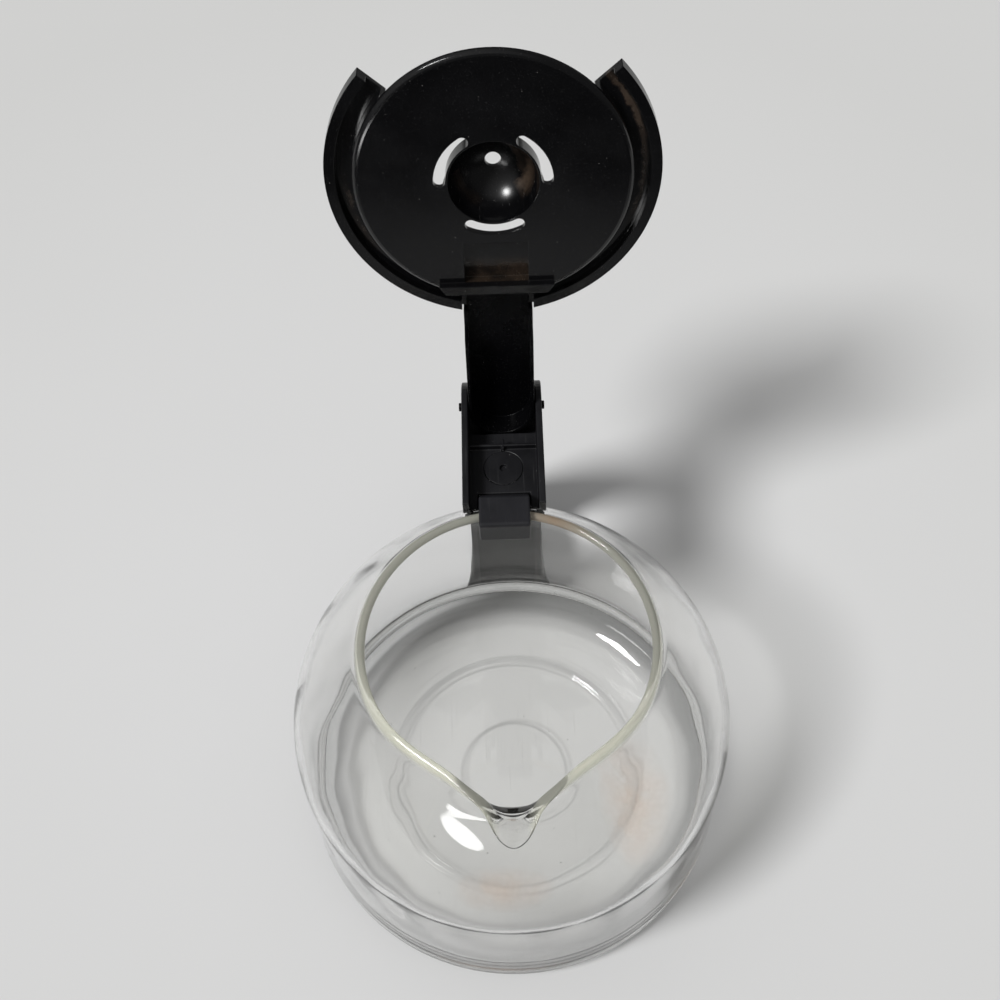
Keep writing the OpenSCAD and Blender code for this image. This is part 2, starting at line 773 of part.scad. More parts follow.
module lid_cap() {
  color([0.03, 0.03, 0.032])
    lid_open()
      difference() {
        union() {
          difference() {
            union() {
              flange();
              plug();
            }
            flange_gap();
          }
          drip_wall();
          pocket_block();
          translate([0, 0, plug_under])
            intersection() {
              sphere(r = dome_r);
              cylinder(r = dome_r, h = dome_r);
            }
        }
        translate([0, 0, plug_under])
          sphere(r = dome_r - dome_t);
        cylinder(d = dome_hole_d, h = dome_r + overrun);
        for (i = [0:slot_n - 1])
          rotate([0, 0, 180 + i * 360 / slot_n])
            brew_slot();
        pocket_room();
        // Way over the wall for the lever, and the slot in the flange under its channel
        translate([-lever_w / 2 - seat_gap, drip_wall_y - lid_t - overrun, pocket_top])
          cube([lever_w + 2 * seat_gap, lid_t + overrun + seat_gap, lid_r]);
        translate([-lever_inner_w / 2, drip_wall_y, -overrun])
          cube([lever_inner_w, lid_r, flange_top + 2 * overrun]);
      }
}

// The lever in the lid's own frame: a channel that opens downwards
lever_hinge = [hinge_y + lid_forward, hinge_z - lid_z];
lever_plate = lever_hinge[1] + lever_rise;
lever_under = lever_hinge[1] - lever_drop;
lever_front = pocket_back - lever_nose;
lever_over_rim = lever_plate - lever_rise + lever_drop;
lever_deep_y = rim_r + lid_forward + lever_deep_reach;

// The lever's outline in side view, from its front wall to the hinge, filled
module lever_outline() {
  edge = lid_r + lever_gap;
  across(
    [[lever_front, pocket_top + seat_gap], [drip_wall_y, pocket_top + seat_gap],
     [drip_wall_y, flange_top + seat_gap], [edge, flange_top + seat_gap],
     [edge, lever_over_rim], [lever_deep_y, lever_over_rim], [lever_deep_y + lever_drop, lever_under],
     [lever_hinge[0], lever_under], [lever_hinge[0], lever_plate + lever_wall],
     [lever_front, lever_plate + lever_wall]],
    lever_w
  );
}

module lid_lever() {
  room = lever_rise + lever_drop + overrun;
  color([0.05, 0.05, 0.055])
    lid_open() {
      difference() {
        union() {
          lever_outline();
          translate([0, lever_hinge[0], lever_under])
            cylinder(r = lever_end_r, h = lever_top + lever_drop);
        }
        translate([-lever_inner_w / 2, lever_front + lever_wall, lever_under - overrun])
          cube([lever_inner_w, lever_hinge[0] - lever_front - lever_wall, room]);
        translate([0, lever_hinge[0], lever_under - overrun])
          cylinder(r = lever_end_r - lever_wall, h = room);
      }
      // Hinge stubs
      for (s = [0, 1])
        mirror([s, 0, 0])
          translate([lever_end_r - lever_wall / 2, lever_hinge[0], lever_hinge[1]])
            rotate([0, 90, 0])
              cylinder(d = pin_d, h = handle_w / 2 + pin_proud - lever_end_r + lever_wall / 2);
    }
}

glass_jug();
saddle_pad();
handle_frame();
grip_cover();
rim_clip();
clip_rivet();
lid_cap();
lid_lever();
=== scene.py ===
import math

import bmesh
import bpy
from mathutils import Matrix, Vector, noise


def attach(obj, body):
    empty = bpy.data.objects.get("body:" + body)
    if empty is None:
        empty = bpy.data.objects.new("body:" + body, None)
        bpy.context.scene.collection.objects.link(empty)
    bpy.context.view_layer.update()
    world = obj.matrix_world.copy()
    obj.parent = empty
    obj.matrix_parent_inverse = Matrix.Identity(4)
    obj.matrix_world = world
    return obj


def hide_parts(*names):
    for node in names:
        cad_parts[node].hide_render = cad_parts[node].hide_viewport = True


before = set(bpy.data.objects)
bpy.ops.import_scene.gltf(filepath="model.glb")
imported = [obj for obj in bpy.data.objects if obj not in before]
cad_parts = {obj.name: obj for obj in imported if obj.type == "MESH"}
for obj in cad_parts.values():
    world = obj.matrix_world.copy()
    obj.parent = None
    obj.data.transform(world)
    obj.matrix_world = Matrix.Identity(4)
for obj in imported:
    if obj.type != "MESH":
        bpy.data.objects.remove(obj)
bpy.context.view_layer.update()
MM = 0.001


def mm(*lengths):
    """Lengths in millimetres as metres."""
    return tuple(length * MM for length in lengths)


# Camera of the photograph: lengths in millimetres, angles in radians
CAM_TARGET = Vector((-1.96, 85.24, 64.0))
CAM_DISTANCE = 528.75
CAM_ELEVATION = math.radians(60.1)
CAM_AZIMUTH = math.radians(0.97)
CAM_ROLL = math.radians(-2.64)
CAM_LENS = 50.4
CAM_SENSOR = 36.0
CAM_NEAREST = 10.0

# Key light: the way that it falls, its strength and how wide it looks
KEY_WAY = Vector((0.52, 0.255, -0.815)).normalized()
KEY_ENERGY = 2.55
KEY_ANGLE = math.radians(15)

# Floor: two corners and its drop under the part, in metres
FLOOR_FROM, FLOOR_TO, FLOOR_DROP = (-1.4, -0.3), (1.4, 1.6), 0.0002

# Jug, in millimetres and degrees, the same values as the part's source
JUG_R, JUG_H, BULGE_Z = 75.4, 123.5, 62.0
HEEL_R, HEEL_ROUND, HEEL_LIFT, FLAT_R = 76.6, 7.0, 1.2, 49.0
WALL, BASE, INNER_ROUND = 2.4, 3.0, 15.5
RIDGE, RIDGE_HALF = 1.0, 2.2
RIM_R, RIM_BEAD, NECK_SLOPE = 47.5, 2.8, 0.758
LIP_APEX, LIP_BEAK, LIP_DEPTH, LIP_DROP = 64.7, 4.3, 9.0, 1.5
LIP_ANGLE, LIP_TIP_ANGLE, LIP_BEAK_ANGLE = 41.6, 2.9, 7.2
LIP_BLEND, LIP_PINCH, PINCH_ANGLE, PINCH_SPREAD, LIP_FALL = 1.6, 1.5, 36.0, 18.0, 1.7
LIP_ZONE = 45.0

# In this mesh alone: a recess under the bottom's middle, with the width of its step,
# and the waviness of the inside, with how fine it is round the jug and up it
PUSH_R, PUSH_UP, PUSH_STEP = 19.5, 0.6, 1.2
WAVE, WAVE_ROUND, WAVE_UP = 0.13, 6, 0.03

# Steps of the jug's section, and steps round it across the lip and round the rest
SIDE_STEPS, SHOULDER_STEPS, HEEL_STEPS, BEAD_STEPS, RIDGE_STEPS = 14, 35, 10, 16, 8
LIP_STEPS, BACK_STEPS = 120, 180

# Rings of the bottom as shares of the way out: recess, flat, raised heel and inside floor
PUSH_RINGS, FLAT_RINGS = (0.3, 0.7, 0.95), (0.7, 0.97, 1.0)
LIFT_RINGS, FLOOR_RINGS = (0.06, 0.5), (0.9, 0.6, 0.3, 0.12)
# Rings of the recess's step as shares of its width and height
STEP_RINGS = ((0.0, 0.8), (0.5, 0.2), (1.0, 0.0))
# The bead's arc, from the neck's own angle, in degrees
BEAD_FROM, BEAD_TO = -40, 220
# Angle from the lip's tip at which the bead's tint begins, and over which it grows full
TINT_FROM, TINT_OVER = 4, 5

# Lid, in millimetres: the hinge axis, the closed lid's middle and how far it is open
HINGE = Vector((0.0, 88.3, 123.2))
LID_FORWARD, LID_Z, OPEN_ANGLE = 1.2, 124.2, math.radians(105.6)

# Rounding of the CAD nodes by modifiers: the weld in metres and angles in radians
WELD, FLAT_ANGLE, SHARP_ANGLE, ROUND_SEGMENTS = 1e-6, math.radians(0.4), math.radians(40), 3


# Meshes

def mesh_object(name, verts, faces):
    mesh = bpy.data.meshes.new(name)
    mesh.from_pydata([Vector(v) * MM for v in verts], [], faces)
    work = bmesh.new()
    work.from_mesh(mesh)
    bmesh.ops.recalc_face_normals(work, faces=work.faces)
    work.to_mesh(mesh)
    work.free()
    for poly in mesh.polygons:
        poly.use_smooth = True
    obj = bpy.data.objects.new(name, mesh)
    bpy.context.scene.collection.objects.link(obj)
    return obj


def steps(start, end, n):
    """n even steps from start that stop one short of end."""
    return [start + (end - start) * i / n for i in range(n)]


def arc(cx, cz, r, a0, a1, n):
    angles = [math.radians(a0 + (a1 - a0) * i / n) for i in range(n + 1)]
    return [(cx + r * math.cos(a), cz + r * math.sin(a)) for a in angles]


def moved(line, d):
    """A line of the section, moved sideways by d."""
    out = []
    for i, p in enumerate(line):
        a, b = line[max(i - 1, 0)], line[min(i + 1, len(line) - 1)]
        length = math.hypot(b[0] - a[0], b[1] - a[1])
        out.append((p[0] - d * (b[1] - a[1]) / length, p[1] + d * (b[0] - a[0]) / length))
    return out


BEAD_R = RIM_BEAD / 2
NECK_ANGLE = math.atan(NECK_SLOPE)
BEAD_C = (RIM_R - BEAD_R, JUG_H - BEAD_R)
NECK_END = (BEAD_C[0] + WALL / 2 * math.cos(NECK_ANGLE),
            BEAD_C[1] + WALL / 2 * math.sin(NECK_ANGLE))
HEEL_C = (HEEL_R - HEEL_ROUND, HEEL_LIFT + HEEL_ROUND)
RIDGE_R = FLAT_R - BASE


def shoulder_r(z):
    span = NECK_END[1] - BULGE_Z
    t = (z - BULGE_Z) / span
    return (JUG_R * (2 * t ** 3 - 3 * t ** 2 + 1) + NECK_END[0] * (3 * t ** 2 - 2 * t ** 3)
            - NECK_SLOPE * span * (t ** 3 - t ** 2))


def side_r(z):
    t = (BULGE_Z - z) / (BULGE_Z - HEEL_C[1])
    return JUG_R - (JUG_R - HEEL_R) * t ** 2


INNER_Z = BASE + HEEL_LIFT + INNER_ROUND
INNER_C = (side_r(INNER_Z) - WALL - INNER_ROUND, INNER_Z)


def off_tip(degrees):
    """Angle from the lip's tip, 0 to 180 degrees."""
    return abs((degrees + 180) % 360 - 180)


def rim_r_at(degrees):
    """The rim's radius at an angle from the lip's tip."""
    off = off_tip(degrees)
    side = math.radians(min(off, 90 - LIP_ANGLE))
    slope = math.tan(math.radians(LIP_ANGLE))
    tip = math.sin(math.radians(LIP_TIP_ANGLE))
    straight = LIP_APEX * slope / (math.hypot(math.sin(side), tip) + slope * math.cos(side))
    pinched = RIM_R - LIP_PINCH * math.exp(-((off - PINCH_ANGLE) / PINCH_SPREAD) ** 2)
    joined = (straight + pinched + math.hypot(straight - pinched, LIP_BLEND)) / 2
    return joined + LIP_BEAK * math.exp(-(off / LIP_BEAK_ANGLE) ** 4)


def jug_section():
    """The section's outside, bead and inside, each as radius and height."""
    wall = [(side_r(z), z) for z in steps(HEEL_C[1], BULGE_Z, SIDE_STEPS)]
    wall += [(shoulder_r(z), z) for z in steps(BULGE_Z, NECK_END[1], SHOULDER_STEPS)]
    outer = [(PUSH_R * k, PUSH_UP) for k in PUSH_RINGS]
    outer += [(PUSH_R + PUSH_STEP * out, PUSH_UP * up) for out, up in STEP_RINGS]
    outer += [(FLAT_R * k, 0.0) for k in FLAT_RINGS]
    outer += [(FLAT_R + (HEEL_C[0] - FLAT_R) * k, HEEL_LIFT * k) for k in LIFT_RINGS]
    outer += arc(*HEEL_C, HEEL_ROUND, -90, -90 / (HEEL_STEPS + 1), HEEL_STEPS) + wall
    neck = math.degrees(NECK_ANGLE)
    bead = arc(*BEAD_C, BEAD_R, neck + BEAD_FROM, neck + BEAD_TO, BEAD_STEPS)
    inner = [p for p in reversed(moved(wall, WALL)) if p[1] > INNER_Z]
    inner += arc(*INNER_C, INNER_ROUND, 0, -90, 2 * HEEL_STEPS)
    inner.append(((RIDGE_R + INNER_C[0]) / 2, BASE + HEEL_LIFT / 2))
    across = [2 * i / RIDGE_STEPS - 1 for i in range(RIDGE_STEPS + 1)]
    inner += [(RIDGE_R - RIDGE_HALF * k, BASE + RIDGE * math.cos(math.pi / 2 * k) ** 2)
              for k in across]
    inner += [(RIDGE_R * k, BASE) for k in FLOOR_RINGS]
    return outer, bead, inner


def glass_jug():
    """The jug as one smooth closed shell, on the part's own section and lip."""
    outer, bead, inner = jug_section()
    section = outer + bead + inner
    inside_from = len(outer) + len(bead)
    angles = steps(-LIP_ZONE, LIP_ZONE, LIP_STEPS)
    angles += steps(LIP_ZONE, 360 - LIP_ZONE, BACK_STEPS)
    reach = rim_r_at(0) - RIM_R
    verts, faces, tints = [], [], []
    for k, (r0, z0) in enumerate(section):
        on_bead = len(outer) <= k < inside_from
        share = max(0.0, 1 - (JUG_H - z0) / LIP_DEPTH) ** LIP_FALL
        for a in angles:
            lip = rim_r_at(a) - RIM_R
            r = r0 + lip * share
            z = z0 - LIP_DROP * share * max(0.0, lip / reach)
            across, along = math.sin(math.radians(a)), math.cos(math.radians(a))
            if k >= inside_from and r0 > RIDGE_R:
                spot = Vector((across * WAVE_ROUND, along * WAVE_ROUND, z0 * WAVE_UP))
                r += WAVE * noise.noise(spot) * (1 - share)
            verts.append((r * across, -r * along, z))
            tint = min(max((off_tip(a) - TINT_FROM) / TINT_OVER, 0.0), 1.0)
            tints.append(tint if on_bead else 0.0)
    n = len(angles)
    for k in range(len(section) - 1):
        for j in range(n):
            a, b = k * n + j, k * n + (j + 1) % n
            faces.append((a, b, b + n, a + n))
    # The middles of the bottom, outside and inside
    for ring, z in ((0, PUSH_UP), (len(section) - 1, BASE)):
        verts.append((0, 0, z))
        tints.append(0.0)
        for j in range(n):
            faces.append((ring * n + j, ring * n + (j + 1) % n, len(verts) - 1))
    made = mesh_object("jug_glass", verts, faces)
    made.data.attributes.new("bead", "FLOAT", "POINT").data.foreach_set("value", tints)
    return made


# Material graphs

def add(tree, kind, values=None, **props):
    made = tree.nodes.new(kind)
    for key, value in props.items():
        setattr(made, key, value)
    for key, value in (values or {}).items():
        socket = made.inputs[key]
        if isinstance(value, bpy.types.NodeSocket):
            tree.links.new(value, socket)
        else:
            socket.default_value = value
    return made


def material(name):
    made = bpy.data.materials.new(name)
    made.use_nodes = True
    made.node_tree.nodes.clear()
    return made, made.node_tree


def coords(tree):
    return add(tree, "ShaderNodeTexCoord").outputs["Object"]


def axes(tree, vector):
    return add(tree, "ShaderNodeSeparateXYZ", {0: vector}).outputs


def noise_of(tree, vector, scale, detail=2.0, rough=0.5):
    values = {"Vector": vector, "Scale": scale, "Detail": detail, "Roughness": rough}
    return add(tree, "ShaderNodeTexNoise", values).outputs[0]


def ramp(tree, value, span, to=(0.0, 1.0)):
    """A value carried from one span to another, and held at its ends."""
    values = {0: value, 1: span[0], 2: span[1], 3: to[0], 4: to[1]}
    return add(tree, "ShaderNodeMapRange", values).outputs[0]


def calc(tree, op, a, b=0.0):
    return add(tree, "ShaderNodeMath", {0: a, 1: b}, operation=op).outputs[0]


def chain(tree, op, first, others):
    for other in others:
        first = calc(tree, op, first, other)
    return first


def times(tree, first, *others):
    return chain(tree, "MULTIPLY", first, others)


def plus(tree, first, *others):
    return chain(tree, "ADD", first, others)


def most(tree, first, *others):
    return chain(tree, "MAXIMUM", first, others)


def minus(tree, a, b):
    return calc(tree, "SUBTRACT", a, b)


def square_sum(tree, a, b):
    return plus(tree, times(tree, a, a), times(tree, b, b))


def vector_op(tree, op, a, b=(0, 0, 0)):
    return add(tree, "ShaderNodeVectorMath", {0: a, 1: b}, operation=op).outputs


def mix_colour(tree, factor, a, b):
    return add(tree, "ShaderNodeMix", {0: factor, 6: a, 7: b}, data_type="RGBA").outputs[2]


def mix_shader(tree, factor, a, b):
    values = {0: factor, 1: a.outputs[0], 2: b.outputs[0]}
    return add(tree, "ShaderNodeMixShader", values)


def principled(tree, **values):
    """A Principled shader: the sockets' names with underscores for spaces."""
    named = {key.replace("_", " "): value for key, value in values.items()}
    return add(tree, "ShaderNodeBsdfPrincipled", named)


def bumped(tree, vector, scale, depth, strength):
    """Bumps of a noise, with their depth in metres."""
    values = {"Strength": strength, "Distance": depth, "Height": noise_of(tree, vector, scale)}
    return add(tree, "ShaderNodeBump", values)


def surface(tree, shader):
    add(tree, "ShaderNodeOutputMaterial", {"Surface": shader.outputs[0]})


def rgb(r, g, b):
    return (r, g, b, 1.0)


def grey(level):
    return rgb(level, level, level)


def band(tree, value, middle, half, soft):
    """1 where a value lies within half of the middle, falling to 0 over soft."""
    off = calc(tree, "ABSOLUTE", minus(tree, value, middle))
    return ramp(tree, off, (half + soft, half))


def near(tree, vector, centre, radius, soft, stretch=(1, 1, 1)):
    """1 inside a ball round a point in millimetres, falling to 0 across its edge."""
    shifted = vector_op(tree, "ADD", vector, tuple(-c * MM for c in centre))[0]
    shaped = vector_op(tree, "MULTIPLY", shifted, stretch)[0]
    length = vector_op(tree, "LENGTH", shaped)["Value"]
    return ramp(tree, length, mm(radius + soft, radius - soft))


# The value that a noise wanders round
NOISE_MIDDLE = 0.5
# Softness of the choice of cells, the solid core of a speck, and a scratch's width by its length
PICK_SOFT, SPECK_CORE, SCRATCH_STRETCH = 0.01, 0.5, 0.02


def specks(tree, vector, scale, size, share):
    """Small dots in a share of the cells of a cell pattern."""
    cells = add(tree, "ShaderNodeTexVoronoi", {"Vector": vector, "Scale": scale}, feature="F1")
    draw = add(tree, "ShaderNodeSeparateColor", {0: cells.outputs["Color"]}).outputs[0]
    picked = ramp(tree, draw, (1 - share, 1 - share + PICK_SOFT))
    dot = ramp(tree, cells.outputs["Distance"], (size, size * SPECK_CORE))
    return times(tree, dot, picked)


def scratches(tree, vector, turn, fine, span):
    """Fine lines where a long drawn noise lies high in its span."""
    values = {"Vector": vector, "Scale": (fine, fine * SCRATCH_STRETCH, fine), "Rotation": turn}
    drawn = add(tree, "ShaderNodeMapping", values).outputs[0]
    return ramp(tree, noise_of(tree, drawn, 1.0), span)


# Plastic: scale, detail and roughness of its clouds, scale of its grain and depth in metres
CLOUD, CLOUD_SPAN = (70, 4, 0.6), (0.3, 0.7)
GRAIN_SCALE, GRAIN_DEPTH = 1900, 0.00006
# Two sets of streaks, each with turn, scale and span, and their tone, strength and roughness
STREAKS = (((0, 0, 0.2), 2600, (0.66, 0.74)), ((0.3, 0.2, 1.1), 2100, (0.68, 0.76)))
STREAK_TONE, STREAK_WEIGHT, STREAK_ROUGH = grey(0.12), 0.12, 0.15
# Two sizes of dust, each with scale, size and part of the share, and their tone and strength
DUST = ((900, 0.16, 1.0), (420, 0.09, 0.6))
DUST_TONE, DUST_WEIGHT = rgb(0.32, 0.31, 0.29), 0.5
# Samples of edges that are rounded in the shading only
EDGE_SAMPLES = 6


def plastic(name, dark, light, rough, grain, dust, gloss=0.3, edge=None):
    """Black moulded plastic: cloudy tone, worn streaks, fine grain and dust."""
    made, tree = material(name)
    at = coords(tree)
    cloud = noise_of(tree, at, *CLOUD)
    streaks = plus(tree, *[scratches(tree, at, *one) for one in STREAKS])
    dots = plus(tree, *[specks(tree, at, scale, size, dust * part) for scale, size, part in DUST])
    tone = mix_colour(tree, ramp(tree, cloud, CLOUD_SPAN), rgb(*dark), rgb(*light))
    tone = mix_colour(tree, times(tree, streaks, STREAK_WEIGHT), tone, STREAK_TONE)
    tone = mix_colour(tree, times(tree, dots, DUST_WEIGHT), tone, DUST_TONE)
    dull = plus(tree, ramp(tree, cloud, CLOUD_SPAN, rough), times(tree, streaks, STREAK_ROUGH))
    bump = bumped(tree, at, GRAIN_SCALE, GRAIN_DEPTH, grain)
    if edge:
        round_edge = add(tree, "ShaderNodeBevel", {"Radius": edge * MM}, samples=EDGE_SAMPLES)
        tree.links.new(round_edge.outputs[0], bump.inputs["Normal"])
    shader = principled(tree, Base_Color=tone, Roughness=dull, Specular_IOR_Level=gloss,
                        Normal=bump.outputs[0])
    surface(tree, shader)
    return made, tree, at, shader


# Coffee rings on the lid: middle radius, half width and softness in millimetres,
# middle angle and half angle in degrees, and strength
LID_RINGS = (
    (10.8, 0.6, 1.4, -4, 40, 0.9), (8.4, 0.3, 1.2, -22, 30, 0.5), (11.2, 0.3, 0.9, 150, 30, 0.2),
    (45.4, 0.3, 0.9, -12, 26, 0.55), (45.6, 0.5, 0.8, -26, 6, 0.9), (45.0, 0.4, 0.9, 180, 26, 0.3))
# How softly a ring ends, in radians, and how far it wanders, in millimetres
RING_FADE, RING_WANDER = math.radians(14), 4.0
# Coffee in the pocket: middle, half width and softness along y and x, the step of its height
POCKET_Y, POCKET_X, POCKET_Z = mm(33.4, 1.9, 3.5), mm(0.0, 9.8, 1.5), mm(-4.3, -3.9)
POCKET_WEIGHT = 0.4
# Clouds that break the stains up, and the stains' tone, strength and roughness
STAIN_CLOUD, STAIN_SPAN = (190, 4, 0.65), (0.25, 0.65)
STAIN_TONE, STAIN_WEIGHT, STAIN_ROUGH = rgb(0.085, 0.055, 0.034), 0.8, 0.4
# The lid's dome is duller than its dish, and the skirt's outside is worn dull
LID_DOME_EDGE, LID_DOME_ROUGH = mm(14, 11), (0.0, 0.13)
LID_GLOSS, SKIRT_EDGE, SKIRT_GLOSS = 0.45, mm(49.9, 50.3), 0.06


def lid_coords(tree, at):
    """Coordinates of the closed lid's own frame, in metres."""
    values = {"Vector": at, "Center": tuple(HINGE * MM), "Angle": OPEN_ANGLE}
    closed = add(tree, "ShaderNodeVectorRotate", values, rotation_type="X_AXIS").outputs[0]
    return vector_op(tree, "ADD", closed, mm(0, LID_FORWARD, -LID_Z))[0]


def lid_plastic():
    """The lid's glossy plastic, coffee stained on its dome, in its channel and in its pocket."""
    made, tree, at, shader = plastic(
        "lid_gloss", dark=(0.0022, 0.0022, 0.0026), light=(0.004, 0.004, 0.0046),
        rough=(0.08, 0.15), grain=0.03, dust=0.03, gloss=LID_GLOSS, edge=0.3)
    x, y, z = axes(tree, lid_coords(tree, at))
    radius = calc(tree, "SQRT", square_sum(tree, x, y))
    turn = calc(tree, "ARCTAN2", y, x)
    cloud = noise_of(tree, at, *STAIN_CLOUD)
    wander = plus(tree, radius, times(tree, minus(tree, cloud, NOISE_MIDDLE), RING_WANDER * MM))
    pocket = times(tree, band(tree, y, *POCKET_Y), band(tree, x, *POCKET_X),
                   ramp(tree, z, POCKET_Z), POCKET_WEIGHT)
    marks = [pocket]
    for r, half, soft, angle, spread, weight in LID_RINGS:
        ring = band(tree, wander, *mm(r, half, soft))
        part = band(tree, turn, math.radians(angle), math.radians(spread), RING_FADE)
        marks.append(times(tree, ring, part, weight))
    stain = times(tree, most(tree, *marks), ramp(tree, cloud, STAIN_SPAN))
    sockets = shader.inputs
    tone = mix_colour(tree, times(tree, stain, STAIN_WEIGHT),
                      sockets["Base Color"].links[0].from_socket, STAIN_TONE)
    rough = plus(tree, sockets["Roughness"].links[0].from_socket, times(tree, stain, STAIN_ROUGH),
                 ramp(tree, radius, LID_DOME_EDGE, LID_DOME_ROUGH))
    gloss = ramp(tree, radius, SKIRT_EDGE, (LID_GLOSS, SKIRT_GLOSS))
    for name, value in (("Base Color", tone), ("Roughness", rough), ("Specular IOR Level", gloss)):
        tree.links.new(value, sockets[name])
    return made


# Glass: its refraction, and the lower one where the handle is bonded on
GLASS_IOR, BONDED_IOR = 1.47, 1.24
# Half width and softness of the bonded zone, and where it begins outwards and upwards
BONDED_X, BONDED_Y, BONDED_Z = mm(0, 13, 1.5), mm(48, 54), mm(22, 30)
# Uneven surface: strength, depth in metres and scale
UNEVEN, UNEVEN_DEPTH, UNEVEN_SCALE = 0.12, 0.0006, 26
# Tints: the wall, the rim, the thick corner of the heel, which is painted shade for the dark band
# that the heel refracts, and an amber stain on the rim
CLEAR_TINT, RIM_TINT = rgb(1.0, 1.0, 0.995), rgb(0.96, 0.96, 0.84)
CORNER_PAINTED_SHADE, CORNER_WEIGHT = rgb(0.42, 0.43, 0.42), 0.6
CORNER_OUT, CORNER_UP = mm(67, 71), mm(20, 15)
AMBER_TINT, AMBER_WEIGHT, AMBER_AT = rgb(0.82, 0.6, 0.4), 0.7, ((16, 43, JUG_H), 7, 8)
# The rim's milk: its tones, gloss and share
RIM_MILK, AMBER_MILK = rgb(0.97, 0.97, 0.84), rgb(0.92, 0.68, 0.48)
MILK_ROUGH, MILK_BEHIND, MILK_SHARE = 0.06, 0.5, 0.45
# Coffee film low in the jug, and two dried patches: point, radius, softness and stretch
FILM_CLOUD, FILM_SPAN, FILM_UP, FILM_WEIGHT = (55, 5, 0.6), (0.42, 0.7), mm(16, 3), 0.015
PATCHES = (((-5, -46, 3), 7, 5, (0.6, 1.2, 1)), ((46, -14, 4), 9, 8, (1.2, 0.6, 1)))
PATCH_CLOUD, PATCH_SPAN, PATCH_SHARE = (120, 3, 0.6), (0.32, 0.62), (0.15, 1.0)
PATCH_WEIGHT, PATCH_EDGE = 0.34, (0.0, 0.1)
# Two sizes of specks, each with scale, size and share, and two sets of scratches
SPECKS, SPECK_WEIGHT = ((210, 0.07, 0.10), (90, 0.035, 0.12)), 0.45
LINES = (((0.4, 0.1, 0.7), 1500, (0.69, 0.78)), ((0.1, 0.5, 2.1), 1300, (0.70, 0.80)))
LINE_WEIGHT = 0.10
# The least and the most that all of this dirt covers, and its tones and roughness
HAZE_LEAST, HAZE_MOST = 0.006, 0.6
FILM_TONE, PATCH_TONE = rgb(0.62, 0.6, 0.55), rgb(0.74, 0.56, 0.44)
SPECK_TONE, DIRT_ROUGH = rgb(0.07, 0.05, 0.035), 0.7
# Light that the glass lets through: straight through the wall, where it grazes the wall
# and through the thick heel
WALL_SHADE = rgb(0.985, 0.985, 0.98)
GRAZED_SHADE, GRAZED_SPAN = rgb(0.38, 0.38, 0.37), (0.62, 0.05)
HEEL_SHADE, HEEL_OUT, HEEL_UP = grey(0.58), mm(60, 73), mm(20, 9)
# Rings in the shadow: both flanks of the ridge and the recess's step
FLANK, FLANK_HALF, STEP_HALF, RING_SOFT = RIDGE_HALF * 0.6, 0.35, 0.5, 0.4
RING_UP, RING_STRENGTH = mm(8, 6), (0.0, 0.36)


def jug_tint_and_shade(tree, out, height, rim, amber):
    """The glass's own colour, and painted shade at the thick corner of the heel."""
    # Painted shade: the glass is darkened at the thick corner of the heel
    corner_shade = times(tree, ramp(tree, out, CORNER_OUT), ramp(tree, height, CORNER_UP), CORNER_WEIGHT)
    tint = mix_colour(tree, rim, CLEAR_TINT, RIM_TINT)
    tint = mix_colour(tree, corner_shade, tint, CORNER_PAINTED_SHADE)
    return mix_colour(tree, times(tree, amber, AMBER_WEIGHT), tint, AMBER_TINT)


def jug_dirt(tree, at, height):
    """Film, dried patches, specks and scratches: how much they cover, and their shader."""
    film = times(tree, ramp(tree, height, FILM_UP),
                 ramp(tree, noise_of(tree, at, *FILM_CLOUD), FILM_SPAN))
    blot = ramp(tree, noise_of(tree, at, *PATCH_CLOUD), PATCH_SPAN, PATCH_SHARE)
    patch = times(tree, most(tree, *[near(tree, at, *one) for one in PATCHES]), blot)
    dots = plus(tree, *[specks(tree, at, *one) for one in SPECKS])
    lines = plus(tree, *[scratches(tree, at, *one) for one in LINES])
    haze = plus(tree, times(tree, film, FILM_WEIGHT), times(tree, patch, PATCH_WEIGHT),
                times(tree, dots, SPECK_WEIGHT), times(tree, lines, LINE_WEIGHT), HAZE_LEAST)
    tone = mix_colour(tree, ramp(tree, patch, PATCH_EDGE), FILM_TONE, PATCH_TONE)
    tone = mix_colour(tree, dots, tone, SPECK_TONE)
    dirt = principled(tree, Base_Color=tone, Roughness=DIRT_ROUGH)
    return calc(tree, "MINIMUM", haze, HAZE_MOST), dirt


def jug_shade(tree, out, height):
    """What light keeps on its way through the glass to the floor."""
    normal = add(tree, "ShaderNodeNewGeometry").outputs["Normal"]
    along = vector_op(tree, "DOT_PRODUCT", normal, tuple(KEY_WAY))["Value"]
    grazed = ramp(tree, calc(tree, "ABSOLUTE", along), GRAZED_SPAN)
    shade = mix_colour(tree, grazed, WALL_SHADE, GRAZED_SHADE)
    from_ridge = calc(tree, "ABSOLUTE", minus(tree, out, RIDGE_R * MM))
    rings = most(tree, band(tree, from_ridge, *mm(FLANK, FLANK_HALF, RING_SOFT)),
                 band(tree, out, *mm(PUSH_R + PUSH_STEP / 2, STEP_HALF, RING_SOFT)))
    rings = times(tree, rings, ramp(tree, height, RING_UP, RING_STRENGTH))
    heel = times(tree, ramp(tree, out, HEEL_OUT), ramp(tree, height, HEEL_UP))
    return mix_colour(tree, most(tree, heel, rings), shade, HEEL_SHADE)


